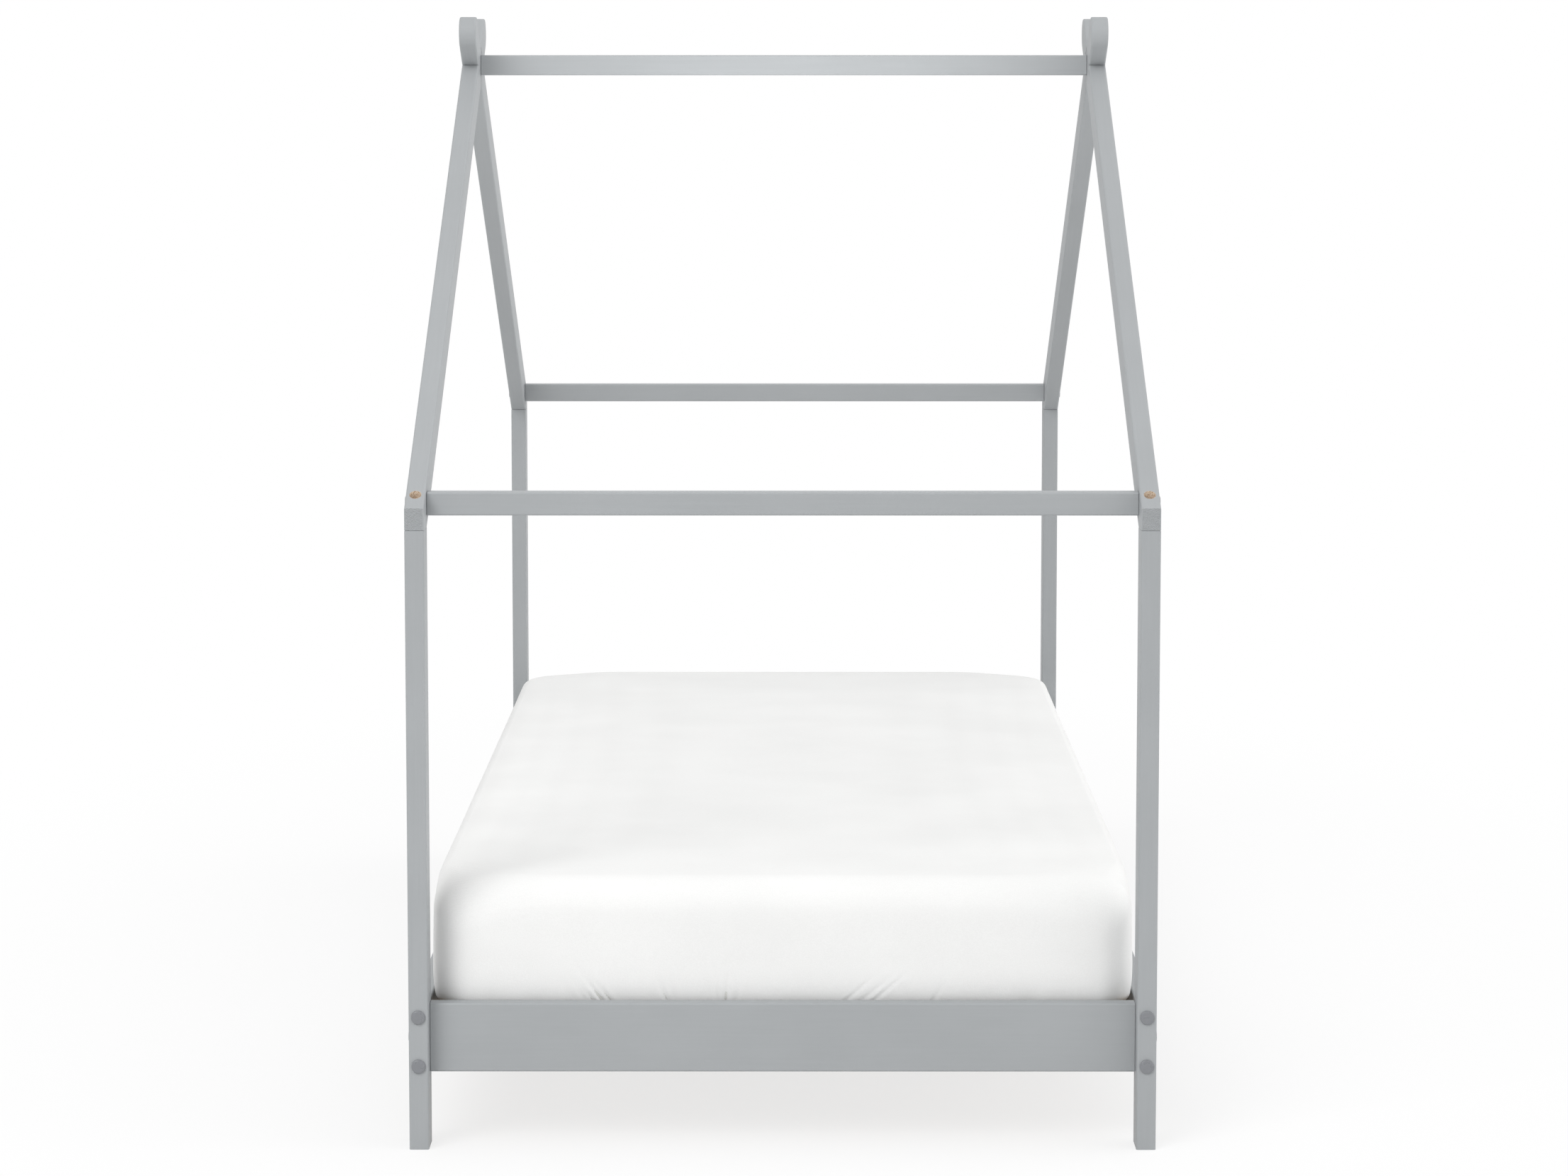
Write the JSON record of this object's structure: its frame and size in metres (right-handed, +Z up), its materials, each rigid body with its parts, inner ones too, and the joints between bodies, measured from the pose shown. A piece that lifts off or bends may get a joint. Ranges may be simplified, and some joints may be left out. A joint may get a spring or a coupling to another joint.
{
  "type": "house frame bed",
  "caption": "Low wooden child's bed with a house-shaped frame: crossed rafters over posts on the long sides, ridge and eave beams, end and side rails, slats and a sheeted mattress.",
  "frame": {"origin": "on the floor, under the middle of the bed", "axes": "+X across the bed, to the right seen from the foot end; +Y along the bed, from the foot to the head; +Z up"},
  "size_m": [0.966, 2.112, 1.4654],
  "materials": {
    "painted_wood": "satin",
    "bare_wood": "matte",
    "dowel_wood": "matte",
    "zinc_steel": "satin",
    "cap_plastic": "satin",
    "mattress_cover": "matte",
    "white_cotton": "matte"
  },
  "bodies": {
    "bed_frame": {"post_front_left": "painted_wood", "rafter_front_left": "painted_wood", "post_rear_left": "painted_wood", "rafter_rear_left": "painted_wood", "side_rail_left": "painted_wood", "slat_ledger_left": "bare_wood", "post_front_right": "painted_wood", "rafter_front_right": "painted_wood", "post_rear_right": "painted_wood", "rafter_rear_right": "painted_wood", "side_rail_right": "painted_wood", "slat_ledger_right": "bare_wood", "end_rail_front": "painted_wood", "eave_beam_front": "painted_wood", "end_rail_rear": "painted_wood", "eave_beam_rear": "painted_wood", "ridge_beam": "painted_wood", "slat_01": "bare_wood", "slat_02": "bare_wood", "slat_03": "bare_wood", "slat_04": "bare_wood", "slat_05": "bare_wood", "slat_06": "bare_wood", "slat_07": "bare_wood", "slat_08": "bare_wood", "slat_09": "bare_wood", "slat_10": "bare_wood", "slat_11": "bare_wood", "slat_12": "bare_wood", "slat_13": "bare_wood", "slat_14": "bare_wood", "end_rail_dowels": "dowel_wood", "eave_beam_dowels": "dowel_wood", "ridge_beam_dowels": "dowel_wood", "post_top_dowels": "dowel_wood", "side_rail_bolts": "zinc_steel", "side_rail_barrel_nuts": "zinc_steel", "end_rail_bolts": "zinc_steel", "end_rail_barrel_nuts": "zinc_steel", "eave_beam_bolts": "zinc_steel", "eave_beam_barrel_nuts": "zinc_steel", "ridge_beam_bolts": "zinc_steel", "ridge_beam_barrel_nuts": "zinc_steel", "post_top_bolts": "zinc_steel", "post_top_barrel_nuts": "zinc_steel", "slat_screws": "zinc_steel", "ledger_screws": "zinc_steel", "side_rail_bolt_caps": "cap_plastic", "end_rail_bolt_caps": "cap_plastic", "eave_beam_bolt_caps": "cap_plastic", "ridge_beam_bolt_caps": "cap_plastic"},
    "mattress": {"mattress": "mattress_cover", "fitted_sheet": "white_cotton"}
  },
  "joints": [
    {"name": "mattress_lift", "type": "slide", "parent": "bed_frame", "child": "mattress", "axis": [0, 0, 1], "range_m": [0, 0.25]}
  ]
}
